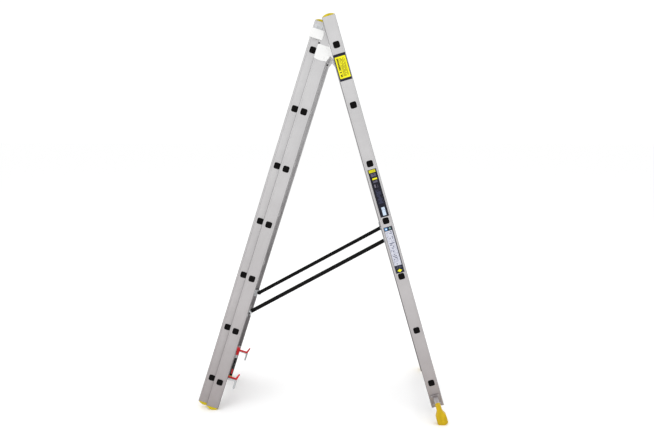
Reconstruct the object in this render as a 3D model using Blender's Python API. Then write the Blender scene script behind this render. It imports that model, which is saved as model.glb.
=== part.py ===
"""Multi position ladder: three seven-rung aluminium sections, standing open as a stepladder.

The base section leans one way on its stabiliser bar. The middle section hinges on it and leans
the other way, and the top section slides along the middle one. Metres, +Z up, rungs along Y.
Inside a section's own frame, Z runs up the section, X runs across it towards positive world X,
and the origin is the centre of the topmost rung.
"""

import math

import bmesh
import bpy
from mathutils import Matrix, Vector

# Sections
RUNG_COUNT = 7
RUNG_PITCH = 0.280
BASE_WIDTH = 0.473
WIDTH_STEP = 0.047
NEST_PITCH = 0.046
HEAD_LENGTH = 0.131
BASE_TAIL_LENGTH = 0.127
UPPER_TAIL_LENGTH = 0.138
BASE_LEAN = math.radians(16.24)
MIDDLE_LEAN = math.radians(17.81)

# Stiles and rungs
STILE_DEPTH = 0.061
STILE_WIDTH = 0.0225
STILE_WALL = 0.0018
STILE_CORNER = 0.0025
RUNG_SIZE = 0.030
RUNG_WALL = 0.0016
RUNG_CORNER = 0.004
RUNG_RECESS = 0.0005

# Fits: the gap between touching pieces, the play of sliding and turning pieces, how far a joined
# shape is buried in its neighbour, and how far a cutter runs past the face that it cuts
FIT_GAP = 0.0003
SLIDE_GAP = 0.0005
PIN_CLEARANCE = 0.0003
END_CLEARANCE = 0.001
BURIED = 0.001
OVERCUT = 0.010

# End caps
CAP_SKIRT_LENGTH = 0.018
BOTTOM_CAP_HEIGHT = 0.014
TOP_CAP_HEIGHT = 0.010

# Main hinge, measured from the base's and the middle section's top rungs
HINGE_REACH = 0.038
HINGE_DROP = 0.0308
HINGE_RISE = 0.0046
HINGE_PIN_RADIUS = 0.004
HINGE_HEAD_RADIUS = 0.006
HINGE_KNUCKLE_RADIUS = 0.0068
HINGE_HEAD_THICKNESS = 0.003
HINGE_PIN_PROUD = 0.002
HINGE_PLATE_THICKNESS = 0.003
HINGE_PLATE_HALF_WIDTH = 0.030
HINGE_PLATE_TOP = 0.033
HINGE_PLATE_SAG_RADIUS = 0.098
HINGE_PLATE_DROP = 0.036
EAR_TOP = 0.012
EAR_BOTTOM = -0.058
EAR_RADIUS = 0.0085
FLANGE_THICKNESS = 0.0025

# Stay bars
STAY_THICKNESS = 0.0035
STAY_HALF_WIDTH = 0.0095
STAY_PIVOT_DROP = 0.9406
STAY_PIVOT_REACH = 0.026
STAY_CLEAT_DROP = 1.2975
STAY_CLEAT_REACH = 0.036
STAY_Y = 0.1705
STAY_PIN_RADIUS = 0.004
STAY_SPACER_RADIUS = 0.0065
STAY_HEAD_RADIUS = 0.0075
STAY_HEAD_THICKNESS = 0.003
STAY_PLATE_SIZE = (0.034, 0.003, 0.052)
STAY_PLATE_OFFSET = 0.009
STAY_TIP_REACH = 0.0064
STAY_SLOT_CLEARANCE = 0.0006
CLEAT_THICKNESS = 0.017
CLEAT_WALL = 0.007
CLEAT_WIDTH = 0.034
CLEAT_LENGTH = 0.026
CLEAT_LIP = 0.010

# Stabiliser
BAR_WIDTH = 0.020
BAR_HEIGHT = 0.030
BAR_WALL = 0.002
BAR_CORNER = 0.002
BAR_DROP = 1.768
BAR_HALF_LENGTH = 0.335
COLLAR_THICKNESS = 0.004
COLLAR_FLANGE = 0.011
SLEEVE_LENGTH = 0.012
SLEEVE_WALL = 0.0035
FOOT_FACE_Y = 0.343
FOOT_DEPTH = 0.031
FOOT_NECK_WIDTH = 0.025
FOOT_BELL_WIDTH = 0.050
FOOT_CREST = 0.0175
FOOT_CREST_RADIUS = 0.008
FOOT_FLARE_START = 0.013
FOOT_FLARE_LENGTH = 0.034
FOOT_ROCKER_RADIUS = 0.031
FOOT_SOLE_SINK = 0.0036
FOOT_SOCKET = 0.050
FLARE_STEPS = 8

# Hooks, levers and pawls
HOOK_DROP = 1.659
HOOK_REACH = 0.0785
HOOK_THICKNESS = 0.0068
HOOK_BAR = 0.010
HOOK_FINGER = 0.044
HOOK_PLATE_EDGE = 0.027
HOOK_PLATE_INNER_EDGE = -0.014
HOOK_PLATE_TOP = 0.030
HOOK_PLATE_TAIL = 0.046
LEVER_THICKNESS = 0.0055
LEVER_PIN_RADIUS = 0.003
LEVER_HUB_RADIUS = 0.011
LEVER_TIP_RADIUS = 0.004
LEVER_TIP_RISE = 0.020
LEVER_ACROSS = 0.010
LEVER_UP = 0.013
PAWL_LENGTH = 0.045
PAWL_HALF_WIDTH = 0.006
PAWL_THICKNESS = 0.008
PAWL_PIN_RADIUS = 0.0035
PAWL_PIN_PROUD = 0.002
PAWL_GAP = 0.0006

# Slide stop and guide
GUIDE_TOP = 0.093
GUIDE_BOTTOM = 0.051
GUIDE_WALL = 0.003
GUIDE_FLANGE_EDGE = -0.0165
GUIDE_LIP = 0.008
STOP_WIDTH = 0.016
STOP_DEPTH = 0.012
STOP_HEIGHT = 0.018
STOP_ACROSS = -0.006
STOP_CORNER = 0.002

ARC_STEPS = 10
WELD = 0.00001
RUNG_SPAN = RUNG_PITCH * (RUNG_COUNT - 1)
MIDDLE_WIDTH = BASE_WIDTH - WIDTH_STEP
TOP_WIDTH = MIDDLE_WIDTH - WIDTH_STEP
BASE_INNER = BASE_WIDTH / 2 - STILE_WIDTH
MIDDLE_INNER = MIDDLE_WIDTH / 2 - STILE_WIDTH
TOP_INNER = TOP_WIDTH / 2 - STILE_WIDTH
SIDES = (("near", -1), ("far", 1))


# Scene, collections and materials


def clear_scene():
    for old in list(bpy.data.objects):
        bpy.data.objects.remove(old, do_unlink=True)


def new_collection(name):
    collection = bpy.data.collections.new(name)
    bpy.context.scene.collection.children.link(collection)
    return collection


def new_material(name, colour, roughness, metallic):
    material = bpy.data.materials.new(name)
    material.use_nodes = True
    shader = material.node_tree.nodes["Principled BSDF"]
    shader.inputs["Base Color"].default_value = (*colour, 1.0)
    shader.inputs["Roughness"].default_value = roughness
    shader.inputs["Metallic"].default_value = metallic
    material.diffuse_color = (*colour, 1.0)
    return material


def new_frame(name, parent, location, lean=0.0):
    frame = bpy.data.objects.new(name, None)
    frame.empty_display_size = 0.05
    frame.location = location
    frame.rotation_euler = (0.0, lean, 0.0)
    frame.parent = parent
    MODEL.objects.link(frame)
    return frame


# Shapes


def add_mesh(name, bm, parent, location, material=None, lean=0.0):
    """Turns bm into an object under parent. Without a material it is a helper."""
    bmesh.ops.recalc_face_normals(bm, faces=bm.faces)
    mesh = bpy.data.meshes.new(name)
    bm.to_mesh(mesh)
    bm.free()
    piece = bpy.data.objects.new(name, mesh)
    piece.location = location
    piece.rotation_euler = (0.0, lean, 0.0)
    piece.parent = parent
    if material:
        mesh.materials.append(material)
        MODEL.objects.link(piece)
    else:
        piece.hide_render = True
        piece.display_type = "WIRE"
        CUTTERS.objects.link(piece)
    return piece


def rounded_box(size, radius=0.0, along=2, segments=3):
    """A box of this size whose edges along one axis are rounded."""
    bm = bmesh.new()
    bmesh.ops.create_cube(bm, size=1.0)
    bmesh.ops.scale(bm, vec=size, verts=bm.verts)
    if radius:
        long_edges = [
            edge for edge in bm.edges
            if abs((edge.verts[0].co - edge.verts[1].co)[along]) > 0.9 * size[along]
        ]
        bmesh.ops.bevel(
            bm, geom=long_edges, offset=radius, segments=segments, profile=0.5,
            affect="EDGES", material=-1,
        )
    return bm


def cylinder(radius, length, segments=24):
    """A cylinder along Y."""
    bm = bmesh.new()
    turn = Matrix.Rotation(math.pi / 2, 3, "X")
    bmesh.ops.create_cone(
        bm, cap_ends=True, segments=segments, radius1=radius, radius2=radius, depth=length,
    )
    bmesh.ops.rotate(bm, cent=(0, 0, 0), matrix=turn, verts=bm.verts)
    return bm


def arc(centre, radius, start, end, steps=ARC_STEPS):
    """Points along an arc, from start to end in degrees."""
    points = []
    for step in range(steps + 1):
        angle = math.radians(start + (end - start) * step / steps)
        points.append((centre[0] + radius * math.cos(angle), centre[1] + radius * math.sin(angle)))
    return points


def extruded(outlines, thickness):
    """A flat piece from closed outlines in X and Z, its thickness along Y. Inner outlines are holes."""
    curve = bpy.data.curves.new("outline", "CURVE")
    curve.dimensions = "2D"
    curve.fill_mode = "BOTH"
    curve.extrude = thickness / 2
    for outline in outlines:
        spline = curve.splines.new("POLY")
        spline.points.add(len(outline) - 1)
        spline.use_cyclic_u = True
        for point, (across, up) in zip(spline.points, outline):
            point.co = (across, up, 0.0, 1.0)
    guide = bpy.data.objects.new("outline", curve)
    CUTTERS.objects.link(guide)
    graph = bpy.context.evaluated_depsgraph_get()
    mesh = bpy.data.meshes.new_from_object(guide.evaluated_get(graph))
    bm = bmesh.new()
    bm.from_mesh(mesh)
    bmesh.ops.remove_doubles(bm, verts=bm.verts, dist=WELD)
    bmesh.ops.rotate(
        bm, cent=(0, 0, 0), matrix=Matrix.Rotation(math.pi / 2, 3, "X"), verts=bm.verts
    )
    for face in bm.faces:
        face.smooth = False
    bpy.data.objects.remove(guide)
    bpy.data.curves.remove(curve)
    bpy.data.meshes.remove(mesh)
    return bm


def boolean(piece, other, operation):
    modifier = piece.modifiers.new(operation.title(), "BOOLEAN")
    modifier.operation = operation
    modifier.solver = "EXACT"
    modifier.object = other


def cut(piece, bm, location, lean=0.0):
    """Removes bm from piece. The location is in the frame of the piece's parent."""
    cutter = add_mesh(piece.name + "_cutter", bm, piece.parent, location, lean=lean)
    boolean(piece, cutter, "DIFFERENCE")


def join(piece, bm, location, lean=0.0):
    """Adds bm to piece as one solid. The location is in the frame of the piece's parent."""
    addition = add_mesh(piece.name + "_addition", bm, piece.parent, location, lean=lean)
    boolean(piece, addition, "UNION")


# Sections


def rung_heights():
    return [-RUNG_PITCH * index for index in range(RUNG_COUNT)]


def build_stile(name, frame, y, tail):
    length = HEAD_LENGTH + RUNG_SPAN + tail
    middle = HEAD_LENGTH - length / 2
    size = (STILE_DEPTH, STILE_WIDTH, length)
    stile = add_mesh(name, rounded_box(size, STILE_CORNER), frame, (0, y, middle), MATERIAL["aluminium"])
    hollow = (STILE_DEPTH - 2 * STILE_WALL, STILE_WIDTH - 2 * STILE_WALL, length + 2 * OVERCUT)
    cut(stile, rounded_box(hollow), (0, y, middle))
    opening = RUNG_SIZE + 2 * FIT_GAP
    holes = bmesh.new()
    for height in rung_heights():
        hole = rounded_box((opening, 2 * STILE_WIDTH, opening), RUNG_CORNER + FIT_GAP, along=1)
        bmesh.ops.translate(hole, vec=(0, 0, height), verts=hole.verts)
        loose = bpy.data.meshes.new("hole")
        hole.to_mesh(loose)
        holes.from_mesh(loose)
        hole.free()
        bpy.data.meshes.remove(loose)
    cut(stile, holes, (0, y, 0))
    return stile


def build_rungs(section, frame, width):
    length = width - 2 * RUNG_RECESS
    for index, height in enumerate(rung_heights()):
        tube = rounded_box((RUNG_SIZE, length, RUNG_SIZE), RUNG_CORNER, along=1)
        name = f"{section}_rung_{index + 1}"
        rung = add_mesh(name, tube, frame, (0, 0, height), MATERIAL["aluminium"])
        inner = RUNG_SIZE - 2 * RUNG_WALL
        cut(rung, rounded_box((inner, length + 2 * OVERCUT, inner)), (0, 0, height))


def cap_radius(height):
    return ((STILE_DEPTH / 2) ** 2 + height ** 2) / (2 * height)


def build_cap(name, frame, y, end, up, height):
    """A domed cap on a stile's end. up is 1 for the top end and -1 for the bottom end."""
    radius = cap_radius(height)
    half = math.degrees(math.asin(STILE_DEPTH / 2 / radius))
    dome = arc((0, height - radius), radius, 90 - half, 90 + half, 14)
    outline = [(x, up * z) for x, z in dome]
    base = end + up * FIT_GAP
    cap = add_mesh(name, extruded([outline], STILE_WIDTH), frame, (0, y, base), MATERIAL["yellow"])
    inset = STILE_WALL + FIT_GAP
    skirt_size = (
        STILE_DEPTH - 2 * inset, STILE_WIDTH - 2 * inset, CAP_SKIRT_LENGTH + BURIED,
    )
    middle = base + up * (BURIED - CAP_SKIRT_LENGTH) / 2
    join(cap, rounded_box(skirt_size), (0, y, middle))


def build_section(section, frame, width, tail, capped_bottom=True):
    stiles = {}
    for side, sign in SIDES:
        y = sign * (width - STILE_WIDTH) / 2
        stiles[side] = build_stile(f"{section}_stile_{side}", frame, y, tail)
        build_cap(f"{section}_top_cap_{side}", frame, y, HEAD_LENGTH, 1, TOP_CAP_HEIGHT)
        if capped_bottom:
            foot = -(RUNG_SPAN + tail)
            build_cap(f"{section}_bottom_cap_{side}", frame, y, foot, -1, BOTTOM_CAP_HEIGHT)
    build_rungs(section, frame, width)
    return stiles


# Stabiliser


def build_stabiliser(frame, stiles, floor_drop):
    """The bar through both base stiles, its collars and its feet."""
    centre = -BAR_DROP
    size = (BAR_WIDTH, 2 * BAR_HALF_LENGTH, BAR_HEIGHT)
    tube = rounded_box(size, BAR_CORNER, along=1, segments=2)
    bar = add_mesh("stabiliser_bar", tube, frame, (0, 0, centre), MATERIAL["aluminium"])
    length = 2 * (BAR_HALF_LENGTH + OVERCUT)
    bore = rounded_box((BAR_WIDTH - 2 * BAR_WALL, length, BAR_HEIGHT - 2 * BAR_WALL))
    cut(bar, bore, (0, 0, centre))
    for side, sign in SIDES:
        stile = stiles[side]
        slot = rounded_box(around_bar(FIT_GAP, 2 * STILE_WIDTH))
        cut(stile, slot, (0, stile.location.y, centre))
        build_collar(f"stabiliser_collar_{side}", frame, sign, centre)
        build_foot(f"stabiliser_foot_{side}", frame, sign, centre, floor_drop)


def around_bar(margin, length):
    """The size of a block that stands out from the bar by the margin, all round."""
    return (BAR_WIDTH + 2 * margin, length, BAR_HEIGHT + 2 * margin)


def build_collar(name, frame, sign, centre):
    """The plate and sleeve that hold the bar where it leaves a base stile."""
    start = BASE_WIDTH / 2 + FIT_GAP
    y = sign * (start + COLLAR_THICKNESS / 2)
    plate = rounded_box(around_bar(COLLAR_FLANGE, COLLAR_THICKNESS), 0.005, along=1)
    collar = add_mesh(name, plate, frame, (0, y, centre), MATERIAL["zinc"])
    sleeve = rounded_box(around_bar(SLEEVE_WALL, SLEEVE_LENGTH), 0.003, along=1)
    join(collar, sleeve, (0, sign * (start + BURIED + SLEEVE_LENGTH / 2), centre))
    passage = around_bar(FIT_GAP, 2 * (COLLAR_THICKNESS + SLEEVE_LENGTH + OVERCUT))
    cut(collar, rounded_box(passage), (0, y, centre))


def build_foot(name, frame, sign, centre, floor_drop):
    """A yellow foot on the bar's end: a neck along the leg, a bell, and a rocker flat on the floor."""
    half_neck = FOOT_NECK_WIDTH / 2
    half_bell = FOOT_BELL_WIDTH / 2
    radius = FOOT_ROCKER_RADIUS
    rocker_centre = -(floor_drop + FOOT_SOLE_SINK - radius) / math.cos(BASE_LEAN)
    edge = math.degrees(math.acos(half_bell / radius))
    rocker = arc((0, rocker_centre), radius, 180 + edge, 360 - edge)
    flank = []
    for step in range(FLARE_STEPS + 1):
        share = step / FLARE_STEPS
        swell = (1 - math.cos(math.pi * share)) / 2
        half = half_neck + (half_bell - half_neck) * swell
        flank.append((half, -FOOT_FLARE_START - FOOT_FLARE_LENGTH * share))
    shoulder = FOOT_CREST - FOOT_CREST_RADIUS
    inset = half_neck - FOOT_CREST_RADIUS
    crest = arc((inset, shoulder), FOOT_CREST_RADIUS, 0, 90, 5)
    crest += arc((-inset, shoulder), FOOT_CREST_RADIUS, 90, 180, 5)
    outline = rocker + flank[::-1] + crest + [(-across, up) for across, up in flank]
    y = sign * (FOOT_FACE_Y - FOOT_DEPTH / 2)
    bell = extruded([outline], FOOT_DEPTH)
    foot = add_mesh(name, bell, frame, (0, y, centre), MATERIAL["yellow"])
    ground = rounded_box((4 * FOOT_BELL_WIDTH, 2 * FOOT_DEPTH, 2 * radius))
    below = Matrix.Rotation(BASE_LEAN, 3, "Y") @ Vector((0, 0, -floor_drop - radius))
    cut(foot, ground, (below.x, y, centre + below.z), lean=BASE_LEAN)
    socket_y = sign * (BAR_HALF_LENGTH + FIT_GAP - FOOT_SOCKET / 2)
    socket = rounded_box(around_bar(FIT_GAP, FOOT_SOCKET), BAR_CORNER, along=1, segments=2)
    cut(foot, socket, (0, socket_y, centre))


# Main hinge


def hinge_y(offset):
    """A distance from the middle of the ladder, measured out from the middle section's outer face."""
    return MIDDLE_WIDTH / 2 + offset


def build_hinge_bracket(name, frame, sign):
    """The angle on the front edge of a base stile, with the hinge pin through its ear."""
    edge = -(STILE_DEPTH / 2 + FIT_GAP)
    ear_inner = hinge_y(FIT_GAP + HINGE_PLATE_THICKNESS + FIT_GAP)
    ear_y = ear_inner + HINGE_PLATE_THICKNESS / 2
    knuckle = arc((-HINGE_REACH, -HINGE_DROP), EAR_RADIUS, 115, 245)
    outline = [(edge, EAR_TOP)] + knuckle + [(edge, EAR_BOTTOM)]
    ear = extruded([outline], HINGE_PLATE_THICKNESS)
    bracket = add_mesh(name, ear, frame, (0, sign * ear_y, 0), MATERIAL["white"])
    flange_width = BASE_WIDTH / 2 - END_CLEARANCE - ear_inner
    flange_size = (FLANGE_THICKNESS, flange_width, EAR_TOP - EAR_BOTTOM)
    flange_y = sign * (ear_inner + flange_width / 2)
    flange_place = (edge - FLANGE_THICKNESS / 2, flange_y, (EAR_TOP + EAR_BOTTOM) / 2)
    join(bracket, rounded_box(flange_size, 0.0008, along=1, segments=2), flange_place)
    pin_outer = ear_inner + HINGE_PLATE_THICKNESS + HINGE_PIN_PROUD
    pin_inner = hinge_y(-FIT_GAP) - HINGE_HEAD_THICKNESS
    pin = cylinder(HINGE_PIN_RADIUS, pin_outer - pin_inner)
    join(bracket, pin, (-HINGE_REACH, sign * (pin_outer + pin_inner) / 2, -HINGE_DROP))
    half_head = HINGE_HEAD_THICKNESS / 2
    for head_y in (pin_inner + half_head, pin_outer - half_head):
        head = cylinder(HINGE_HEAD_RADIUS, HINGE_HEAD_THICKNESS)
        join(bracket, head, (-HINGE_REACH, sign * head_y, -HINGE_DROP))


def build_hinge_plate(name, frame, sign):
    """The white plate on the middle stile that turns on the hinge pin."""
    half = HINGE_PLATE_HALF_WIDTH
    top = HINGE_PLATE_TOP
    chamfer = 0.004
    knuckle = arc((HINGE_REACH, HINGE_RISE), HINGE_KNUCKLE_RADIUS, -60, 55)
    sag_centre = HINGE_PLATE_SAG_RADIUS - HINGE_PLATE_DROP
    spread = math.degrees(math.asin(half / HINGE_PLATE_SAG_RADIUS))
    sag = arc((0, sag_centre), HINGE_PLATE_SAG_RADIUS, 270 - spread, 270 + spread)
    outline = [(-half, top - chamfer)] + sag + knuckle + [(0.023, top), (chamfer - half, top)]
    hole = arc((HINGE_REACH, HINGE_RISE), HINGE_PIN_RADIUS + PIN_CLEARANCE, 345, 0, 23)
    y = sign * (hinge_y(FIT_GAP) + HINGE_PLATE_THICKNESS / 2)
    plate = extruded([outline, hole], HINGE_PLATE_THICKNESS)
    add_mesh(name, plate, frame, (0, y, 0), MATERIAL["white"])


# Guide, where the top section slides through


def build_guide(name, frame, sign):
    """A C-shaped guide on the middle stile's outer face, round the back of the top stile."""
    top_back = -(NEST_PITCH + STILE_DEPTH / 2)
    web_inner = top_back - SLIDE_GAP
    web_outer = web_inner - GUIDE_WALL
    lip_end = top_back + GUIDE_LIP
    plate_inner = hinge_y(FIT_GAP)
    plate_outer = plate_inner + GUIDE_WALL
    block_inner = TOP_WIDTH / 2 + SLIDE_GAP
    lip_outer = TOP_INNER - SLIDE_GAP
    lip_inner = lip_outer - GUIDE_WALL
    step = -(STILE_DEPTH / 2 + SLIDE_GAP)
    section = [
        (GUIDE_FLANGE_EDGE, plate_inner), (step, plate_inner), (step, block_inner),
        (web_inner, block_inner), (web_inner, lip_outer), (lip_end, lip_outer),
        (lip_end, lip_inner), (web_outer, lip_inner), (web_outer, plate_outer),
        (GUIDE_FLANGE_EDGE, plate_outer),
    ]
    height = GUIDE_TOP - GUIDE_BOTTOM
    bm = extruded([section], height)
    bmesh.ops.rotate(
        bm, cent=(0, 0, 0), matrix=Matrix.Rotation(-math.pi / 2, 3, "X"), verts=bm.verts
    )
    if sign < 0:
        bmesh.ops.scale(bm, vec=(1, -1, 1), verts=bm.verts)
    add_mesh(name, bm, frame, (0, 0, (GUIDE_TOP + GUIDE_BOTTOM) / 2), MATERIAL["white"])


def add_slide_stop(stile, frame, sign):
    """The lug on a top stile that rests on the guide when the sections are level."""
    size = (STOP_WIDTH, STOP_DEPTH, STOP_HEIGHT)
    y = sign * (TOP_WIDTH / 2 + STOP_DEPTH / 2 - BURIED)
    height = GUIDE_TOP + FIT_GAP + STOP_HEIGHT / 2
    join(stile, rounded_box(size, STOP_CORNER), (STOP_ACROSS, y, height))


# Stay bars


def build_stay_pivot(name, frame, sign):
    """The plate on a base stile's inner face, with the long stud that carries a stay bar."""
    plate_outer = BASE_INNER - FIT_GAP
    plate_y = plate_outer - STAY_PLATE_SIZE[1] / 2
    place = (STAY_PLATE_OFFSET - STAY_PIVOT_REACH, sign * plate_y, -STAY_PIVOT_DROP)
    plate = rounded_box(STAY_PLATE_SIZE, 0.006, along=1)
    pivot = add_mesh(name, plate, frame, place, MATERIAL["zinc"])
    root = plate_outer - BURIED
    spacer_end = STAY_Y + STAY_THICKNESS / 2 + FIT_GAP
    head_start = STAY_Y - STAY_THICKNESS / 2 - FIT_GAP
    head_end = head_start - STAY_HEAD_THICKNESS
    stud = (
        (STAY_SPACER_RADIUS, spacer_end, root),
        (STAY_PIN_RADIUS, (head_start + head_end) / 2, root),
        (STAY_HEAD_RADIUS, head_end, head_start),
    )
    for radius, inner, outer in stud:
        y = sign * (inner + outer) / 2
        join(pivot, cylinder(radius, outer - inner), (-STAY_PIVOT_REACH, y, -STAY_PIVOT_DROP))


def stay_line():
    """The stay bar's length and its turn about +Y, from straight down the base section."""
    hinge = Vector((-HINGE_REACH, -HINGE_DROP))
    middle = Matrix.Rotation(-(BASE_LEAN + MIDDLE_LEAN), 2)
    cleat = Vector((STAY_CLEAT_REACH - HINGE_REACH, -STAY_CLEAT_DROP - HINGE_RISE))
    end = hinge + middle @ cleat
    line = end - Vector((-STAY_PIVOT_REACH, -STAY_PIVOT_DROP))
    return line.length, math.atan2(-line.x, -line.y)


def build_stay_bar(name, frame, sign):
    """A flat bar from its base pivot to the pin that rests in the cleat. It turns about its origin."""
    length, turn = stay_line()
    low = arc((0, -length), STAY_HALF_WIDTH, 180, 360)
    high = arc((0, 0), STAY_HALF_WIDTH, 0, 180)
    hole = arc((0, 0), STAY_PIN_RADIUS + PIN_CLEARANCE, 345, 0, 23)
    bar = extruded([low + high, hole], STAY_THICKNESS)
    place = Vector((-STAY_PIVOT_REACH, sign * STAY_Y, -STAY_PIVOT_DROP))
    stay = add_mesh(name, bar, frame, place, MATERIAL["black"], lean=turn)
    tip = place + Matrix.Rotation(turn, 3, "Y") @ Vector((0, 0, -length))
    tip_y = sign * (STAY_Y + STAY_TIP_REACH / 2)
    join(stay, cylinder(STAY_PIN_RADIUS, STAY_TIP_REACH), (tip.x, tip_y, tip.z))


def build_cleat(name, frame, sign):
    """The slotted cleat on a middle stile's inner face. Its slot opens down the section."""
    half_slot = STAY_PIN_RADIUS + STAY_SLOT_CLEARANCE
    outer = half_slot + CLEAT_WALL
    crown = arc((0, 0), outer, -10, 90)
    slot = arc((0, 0), half_slot, 180, 0)
    outline = (
        slot + [(half_slot, -CLEAT_LIP), (outer, -CLEAT_LIP)] + crown
        + [(-CLEAT_WIDTH, outer), (-CLEAT_WIDTH, -CLEAT_LENGTH), (-half_slot, -CLEAT_LENGTH)]
    )
    y = sign * (MIDDLE_INNER - FIT_GAP - CLEAT_THICKNESS / 2)
    place = (STAY_CLEAT_REACH, y, -STAY_CLEAT_DROP)
    add_mesh(name, extruded([outline], CLEAT_THICKNESS), frame, place, MATERIAL["zinc"])


# Rung hooks, their release levers and the top section's pawls


def build_hook(name, frame, sign):
    """The steel hook at the foot of a middle stile, with its finger pointing down."""
    half = HOOK_BAR / 2
    inner = HOOK_REACH - HOOK_BAR
    edge = HOOK_PLATE_EDGE
    back = HOOK_PLATE_INNER_EDGE
    above_rung = -0.003
    beside_rung = RUNG_SIZE / 2 + 0.001
    fillet = 0.004
    tip = arc((inner + half, half - HOOK_FINGER), half, 180, 360)
    elbow = arc((inner + half, 0), half, 0, 90, 5)
    outline = (
        [(edge, -half), (inner - fillet, -half), (inner, -half - fillet)] + tip + elbow
        + [(edge, half), (edge, HOOK_PLATE_TOP), (back, HOOK_PLATE_TOP), (back, above_rung)]
        + [(beside_rung, above_rung), (beside_rung, -HOOK_PLATE_TAIL), (edge, -HOOK_PLATE_TAIL)]
    )
    bore = arc((LEVER_ACROSS, LEVER_UP), LEVER_PIN_RADIUS + PIN_CLEARANCE, 345, 0, 23)
    y = sign * (MIDDLE_INNER - FIT_GAP - HOOK_THICKNESS / 2)
    plate = extruded([outline, bore], HOOK_THICKNESS)
    add_mesh(name, plate, frame, (0, y, -HOOK_DROP), MATERIAL["zinc"])


def build_lever(name, frame, sign):
    """The red lever that lies along the hook and turns on its own pin, which is its origin."""
    reach = HOOK_REACH - LEVER_ACROSS
    neck = 0.019
    arm_top = -0.0015
    arm_bottom = -0.0105
    hub = arc((0, 0), LEVER_HUB_RADIUS, 60, 280, 14)
    underside = [(neck, arm_bottom), (reach - 0.008, arm_bottom)]
    heel = arc((reach - 0.006, arm_bottom + LEVER_TIP_RADIUS), LEVER_TIP_RADIUS, 290, 340, 3)
    fingertip = arc((reach + 0.0015, LEVER_TIP_RISE), LEVER_TIP_RADIUS, -20, 200, 8)
    topside = [(reach - 0.011, arm_top), (neck, arm_top)]
    outline = hub + underside + heel + fingertip + topside
    y = MIDDLE_INNER - 2 * FIT_GAP - HOOK_THICKNESS - LEVER_THICKNESS / 2
    place = (LEVER_ACROSS, sign * y, LEVER_UP - HOOK_DROP)
    lever = add_mesh(name, extruded([outline], LEVER_THICKNESS), frame, place, MATERIAL["red"])
    pin_end = MIDDLE_INNER - END_CLEARANCE
    pin = cylinder(LEVER_PIN_RADIUS, pin_end - y)
    join(lever, pin, (place[0], sign * (pin_end + y) / 2, place[2]))


def build_pawl(name, frame, sign, stile):
    """The pawl on a top stile's inner face, folded up along the stile. It turns about its origin."""
    low = arc((0, 0), PAWL_HALF_WIDTH, 180, 360)
    high = arc((0, PAWL_LENGTH), PAWL_HALF_WIDTH, 0, 180)
    y = TOP_INNER - PAWL_GAP - PAWL_THICKNESS / 2
    across = NEST_PITCH / 2
    height = -(RUNG_SPAN - RUNG_SIZE / 2 - PAWL_HALF_WIDTH - SLIDE_GAP)
    pawl = add_mesh(
        name, extruded([low + high], PAWL_THICKNESS), frame, (across, sign * y, height),
        MATERIAL["zinc"],
    )
    pin_end = TOP_INNER + STILE_WALL + PAWL_PIN_PROUD
    pin = cylinder(PAWL_PIN_RADIUS, pin_end - y)
    join(pawl, pin, (across, sign * (pin_end + y) / 2, height))
    bore = cylinder(PAWL_PIN_RADIUS + PIN_CLEARANCE, 2 * OVERCUT)
    cut(stile, bore, (across, sign * TOP_INNER, height))


# The whole ladder


def place_frames():
    """One frame for each section, hung from the hinge, with the middle section's feet on the floor."""
    ladder = new_frame("ladder", None, (0, 0, 0))
    turn = Matrix.Rotation(MIDDLE_LEAN, 3, "Y")
    base_turn = Matrix.Rotation(-BASE_LEAN, 3, "Y")
    foot_radius = cap_radius(BOTTOM_CAP_HEIGHT)
    dome_centre = RUNG_SPAN + UPPER_TAIL_LENGTH + FIT_GAP + BOTTOM_CAP_HEIGHT - foot_radius
    middle_rung_height = foot_radius + dome_centre * math.cos(MIDDLE_LEAN)
    from_hinge = Vector((-HINGE_REACH, 0, -HINGE_RISE))
    to_hinge = Vector((-HINGE_REACH, 0, -HINGE_DROP))
    hinge_height = middle_rung_height - (turn @ from_hinge).z
    base_height = hinge_height - (base_turn @ to_hinge).z
    base = new_frame("base_frame", ladder, (0, 0, base_height), -BASE_LEAN)
    hinge = new_frame("main_hinge_axis", base, to_hinge, BASE_LEAN + MIDDLE_LEAN)
    middle = new_frame("middle_frame", hinge, from_hinge)
    top = new_frame("top_frame", middle, (-NEST_PITCH, 0, 0))
    bar_height = base_height - BAR_DROP * math.cos(BASE_LEAN)
    return ladder, base, middle, top, bar_height


def centre_on_origin(ladder):
    """Moves the ladder along X so that its bounding box is centred on the origin."""
    bpy.context.view_layer.update()
    graph = bpy.context.evaluated_depsgraph_get()
    across = []
    for piece in MODEL.objects:
        if piece.type == "MESH":
            placed = piece.evaluated_get(graph)
            across += [(placed.matrix_world @ vertex.co).x for vertex in placed.data.vertices]
    ladder.location.x = -(min(across) + max(across)) / 2


def build():
    ladder, base, middle, top, bar_height = place_frames()
    base_stiles = build_section("base", base, BASE_WIDTH, BASE_TAIL_LENGTH, capped_bottom=False)
    build_section("middle", middle, MIDDLE_WIDTH, UPPER_TAIL_LENGTH)
    top_stiles = build_section("top", top, TOP_WIDTH, UPPER_TAIL_LENGTH)
    build_stabiliser(base, base_stiles, bar_height)
    for side, sign in SIDES:
        build_hinge_bracket(f"hinge_bracket_{side}", base, sign)
        build_hinge_plate(f"hinge_plate_{side}", middle, sign)
        build_guide(f"guide_bracket_{side}", middle, sign)
        add_slide_stop(top_stiles[side], top, sign)
        build_stay_pivot(f"stay_pivot_{side}", base, sign)
        build_stay_bar(f"stay_bar_{side}", base, sign)
        build_cleat(f"stay_cleat_{side}", middle, sign)
        build_hook(f"rung_hook_{side}", middle, sign)
        build_lever(f"hook_lever_{side}", middle, sign)
        build_pawl(f"rung_pawl_{side}", top, sign, top_stiles[side])
    centre_on_origin(ladder)


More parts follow.
